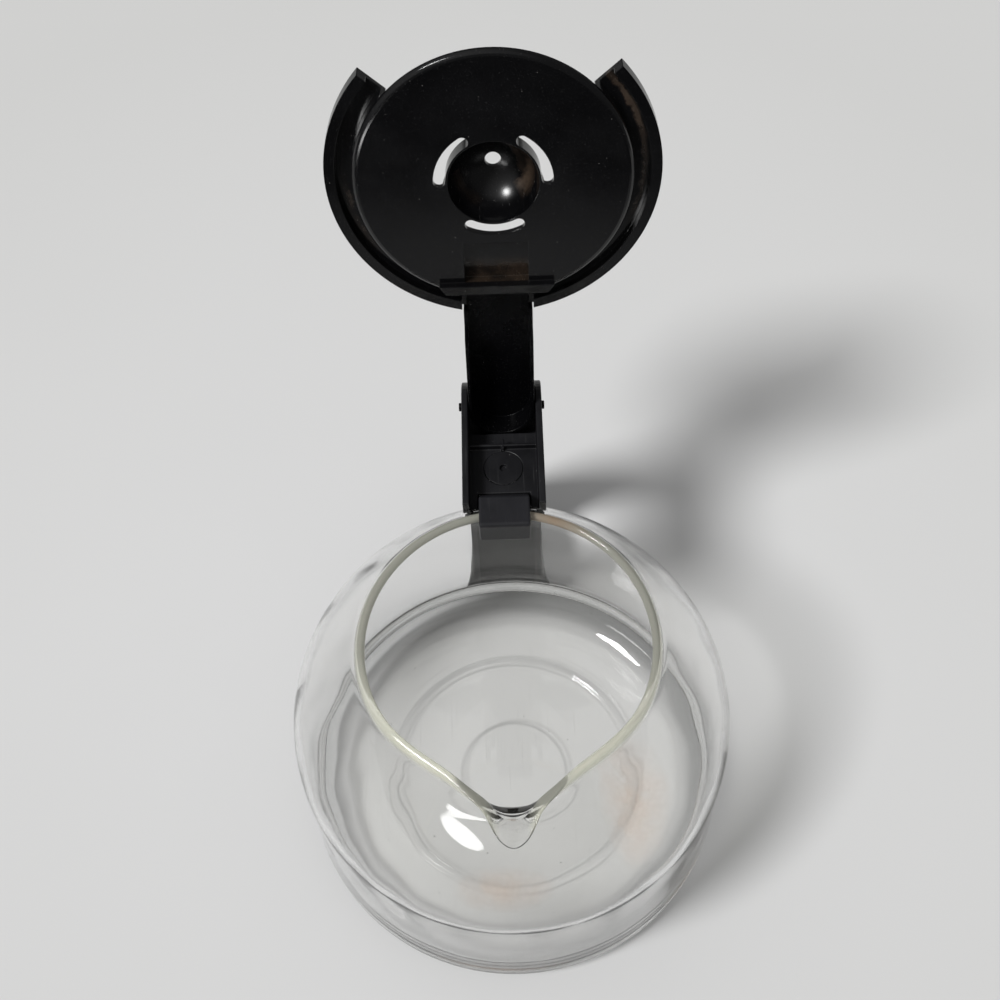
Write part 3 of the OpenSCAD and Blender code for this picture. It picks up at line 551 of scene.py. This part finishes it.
def jug_glass():
    """Clear glass with a pale milky rim, coffee film at the bottom, specks and scratches."""
    made, tree = material("clear_glass")
    at = coords(tree)
    x, y, height = axes(tree, at)
    out = calc(tree, "SQRT", square_sum(tree, x, y))
    rim = add(tree, "ShaderNodeAttribute", attribute_name="bead").outputs["Fac"]
    amber = times(tree, near(tree, at, *AMBER_AT), rim)
    # Where the handle is bonded on, the wall mirrors less
    bonded = times(tree, band(tree, x, *BONDED_X), ramp(tree, y, BONDED_Y),
                   ramp(tree, height, BONDED_Z))
    uneven = bumped(tree, at, UNEVEN_SCALE, UNEVEN_DEPTH, UNEVEN)
    clear = principled(tree, Base_Color=jug_tint_and_shade(tree, out, height, rim, amber), Roughness=0.0,
                       IOR=ramp(tree, bonded, (0.0, 1.0), (GLASS_IOR, BONDED_IOR)),
                       Transmission_Weight=1.0, Normal=uneven.outputs[0])
    haze, dirt = jug_dirt(tree, at, height)
    worn = mix_shader(tree, haze, clear, dirt)
    # The rim is a little milky
    milk = mix_colour(tree, amber, RIM_MILK, AMBER_MILK)
    front = principled(tree, Base_Color=milk, Roughness=MILK_ROUGH, IOR=GLASS_IOR)
    behind = add(tree, "ShaderNodeBsdfTranslucent", {"Color": milk})
    milky = mix_shader(tree, MILK_BEHIND, front, behind)
    worn = mix_shader(tree, times(tree, rim, MILK_SHARE), worn, milky)
    # Shadow rays and diffuse rays go straight through, dimmed by the glass's shade
    see = add(tree, "ShaderNodeBsdfTransparent", {"Color": jug_shade(tree, out, height)})
    path = add(tree, "ShaderNodeLightPath").outputs
    plain = most(tree, path["Is Shadow Ray"], path["Is Diffuse Ray"])
    surface(tree, mix_shader(tree, plain, worn, see))
    return made


# Floor: a painted pool of light, with point, radius and softness in millimetres, the pool's two
# tones with the scale and detail of their clouds, and the darker tone past it, where the painted
# light falls off
LIT_POOL_AT, PAST_LIT_POOL = ((-40, 60, 0), 210, 170), rgb(0.64, 0.64, 0.632)
FLOOR_DARK, FLOOR_LIGHT, FLOOR_CLOUD = grey(0.705), grey(0.735), (9, 3)
FLOOR_ROUGH, FLOOR_GLOSS = 0.85, 0.1


def floor_paint():
    made, tree = material("studio_floor")
    at = coords(tree)
    tone = mix_colour(tree, noise_of(tree, at, *FLOOR_CLOUD), FLOOR_DARK, FLOOR_LIGHT)
    # Painted light: the floor is lighter in the pool round the jug and darker past it
    tone = mix_colour(tree, near(tree, at, *LIT_POOL_AT), PAST_LIT_POOL, tone)
    surface(tree, principled(tree, Base_Color=tone, Roughness=FLOOR_ROUGH,
                             Specular_IOR_Level=FLOOR_GLOSS))
    return made


# Dressing the parts

satin = plastic("satin_black", dark=(0.006, 0.006, 0.0072), light=(0.012, 0.012, 0.0138),
                rough=(0.36, 0.5), grain=0.25, dust=0.05)[0]
clip_black = plastic("clip_black", dark=(0.012, 0.012, 0.014), light=(0.018, 0.018, 0.021),
                     rough=(0.3, 0.42), grain=0.2, dust=0.03)[0]
# The lever's plastic is darker and less glossy than the lid's: painted shade, for the shade inside
# the lever's hollow
lever_shaded_black = plastic("lever_shaded_black", dark=(0.0014, 0.0014, 0.0018), light=(0.0026, 0.0026, 0.003),
                      rough=(0.2, 0.3), grain=0.05, dust=0.03, gloss=0.1)[0]
pad_grey = plastic("pad_grey", dark=(0.010, 0.010, 0.010), light=(0.016, 0.016, 0.016),
                   rough=(0.6, 0.75), grain=0.2, dust=0.0)[0]
lid_black = lid_plastic()

# Each CAD node's material, and the width of its rounded edges in millimetres
FINISH = {"handle_frame": (satin, 0.45), "grip_cover": (satin, 0.3), "rim_clip": (clip_black, 0.8),
          "clip_rivet": (satin, 0.1), "lid_cap": (lid_black, 0.0),
          "lid_lever": (lever_shaded_black, 0.25), "saddle_pad": (pad_grey, 0.0)}


def soften(obj, width):
    """Rounds a CAD node's sharp edges, as a moulding's are."""
    weld = obj.modifiers.new("weld", "WELD")
    weld.merge_threshold = WELD
    flat = obj.modifiers.new("flat", "DECIMATE")
    flat.decimate_type = "DISSOLVE"
    flat.angle_limit = FLAT_ANGLE
    bevel = obj.modifiers.new("round", "BEVEL")
    bevel.width = width * MM
    bevel.segments = ROUND_SEGMENTS
    bevel.limit_method = "ANGLE"
    bevel.angle_limit = SHARP_ANGLE
    bevel.use_clamp_overlap = False
    bevel.harden_normals = True


for node, (finish, width) in FINISH.items():
    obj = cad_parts[node]
    obj.data.materials.clear()
    obj.data.materials.append(finish)
    if width:
        soften(obj, width)

jug = glass_jug()
jug.data.materials.append(jug_glass())
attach(jug, "jug")
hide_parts("glass_jug")

# Floor, light and camera

(x0, y0), (x1, y1) = FLOOR_FROM, FLOOR_TO
floor_mesh = bpy.data.meshes.new("floor")
floor_mesh.from_pydata([(x0, y0, 0), (x1, y0, 0), (x1, y1, 0), (x0, y1, 0)], [], [(0, 1, 2, 3)])
floor = bpy.data.objects.new("floor", floor_mesh)
floor.location.z = -FLOOR_DROP
floor.data.materials.append(floor_paint())
bpy.context.scene.collection.objects.link(floor)

sun = bpy.data.lights.new("key", "SUN")
sun.energy = KEY_ENERGY
sun.angle = KEY_ANGLE
key = bpy.data.objects.new("key", sun)
key.rotation_mode = "QUATERNION"
key.rotation_quaternion = KEY_WAY.to_track_quat("-Z", "Y")
bpy.context.scene.collection.objects.link(key)

# The world by heading: each light's span of a heading and its strength over that span.
# The dome lights the floor and the dull surfaces
DOME_Z, DOME_LIGHT = (0.0, 0.8), (0.23, 0.355)
# Gloss mirrors a dim room, brighter towards the key light
KEY_SPAN, ROOM_LIGHT = (0.5, 1.0), (0.13, 0.55)
# In front of it lies the table, with an uneven edge, and the dark beyond
FRONT_Y, FRONT_Z = (-0.4, -0.75), (0.04, -0.08)
TABLE_Z, TABLE_LIGHT = (-0.28, -0.32), (0.04, 0.34)
TABLE_SCALE, TABLE_UNEVEN = 7, 0.14
# A small softbox low in front, to the left: its middle, slanted axes, edge and strength
BOX_X, BOX_Z, BOX_Y = -0.38, -0.125, (-0.5, -0.6)
BOX_LONG, BOX_SHORT, BOX_EDGE, BOX_LIGHT = (5.3, -4.7), (5.5, 24.5), (1.1, 0.8), 12.0
# What is seen through the glass past the floor
THROUGH_Z, THROUGH_UP = (0.1, 0.6), (0.2, 0.6)
THROUGH_Y, THROUGH_BACK = (-0.6, 0.0), (0.22, 0.52)
# The tones of these lights, and what the camera itself sees
LIGHT_TONE, THROUGH_TONE, PALE_TONE = grey(1), rgb(1, 1, 0.99), rgb(0.66, 0.66, 0.65)


def mirrored_room(tree, heading, x, y, z):
    """The strength of what the gloss mirrors."""
    to_key = vector_op(tree, "DOT_PRODUCT", heading, tuple(-KEY_WAY))["Value"]
    room = ramp(tree, to_key, KEY_SPAN, ROOM_LIGHT)
    uneven = minus(tree, noise_of(tree, heading, TABLE_SCALE), NOISE_MIDDLE)
    table = ramp(tree, plus(tree, z, times(tree, uneven, TABLE_UNEVEN)), TABLE_Z, TABLE_LIGHT)
    front = times(tree, ramp(tree, y, FRONT_Y), ramp(tree, z, FRONT_Z))
    room = plus(tree, times(tree, room, minus(tree, 1.0, front)), times(tree, table, front))
    over, rise = minus(tree, x, BOX_X), minus(tree, z, BOX_Z)
    ways = [plus(tree, times(tree, over, across), times(tree, rise, up))
            for across, up in (BOX_LONG, BOX_SHORT)]
    box = times(tree, ramp(tree, square_sum(tree, *ways), BOX_EDGE), ramp(tree, y, BOX_Y))
    return plus(tree, room, times(tree, box, BOX_LIGHT))


def studio_world():
    """A world that differs for what is lit, mirrored, seen through glass and seen plainly."""
    world = bpy.data.worlds.new("studio")
    world.use_nodes = True
    tree = world.node_tree
    tree.nodes.clear()
    heading = add(tree, "ShaderNodeTexCoord").outputs["Generated"]
    x, y, z = axes(tree, heading)
    through = most(tree, ramp(tree, z, THROUGH_Z, THROUGH_UP),
                   ramp(tree, y, THROUGH_Y, THROUGH_BACK))
    path = add(tree, "ShaderNodeLightPath").outputs
    shown = None
    for ray, tone, strength in (
            (None, LIGHT_TONE, ramp(tree, z, DOME_Z, DOME_LIGHT)),
            ("Is Glossy Ray", LIGHT_TONE, mirrored_room(tree, heading, x, y, z)),
            ("Is Transmission Ray", THROUGH_TONE, through),
            ("Is Camera Ray", PALE_TONE, 1.0)):
        seen = add(tree, "ShaderNodeBackground", {"Color": tone, "Strength": strength})
        shown = mix_shader(tree, path[ray], shown, seen) if ray else seen
    add(tree, "ShaderNodeOutputWorld", {"Surface": shown.outputs[0]})
    return world


bpy.context.scene.world = studio_world()

back = Vector((math.sin(CAM_AZIMUTH) * math.cos(CAM_ELEVATION),
               -math.cos(CAM_AZIMUTH) * math.cos(CAM_ELEVATION), math.sin(CAM_ELEVATION)))
right = (-back).cross(Vector((0, 0, 1))).normalized()
up = right.cross(-back)
cam_x = right * math.cos(CAM_ROLL) + up * math.sin(CAM_ROLL)
cam_y = up * math.cos(CAM_ROLL) - right * math.sin(CAM_ROLL)
lens = bpy.data.cameras.new("photo")
lens.lens = CAM_LENS
lens.sensor_width = CAM_SENSOR
lens.clip_start = CAM_NEAREST * MM
camera = bpy.data.objects.new("photo", lens)
camera.matrix_world = Matrix.Translation((CAM_TARGET + back * CAM_DISTANCE) * MM) @ Matrix(
    (cam_x, cam_y, back)).transposed().to_4x4()
bpy.context.scene.collection.objects.link(camera)
bpy.context.scene.camera = camera
bpy.context.scene.view_settings.view_transform = "Standard"
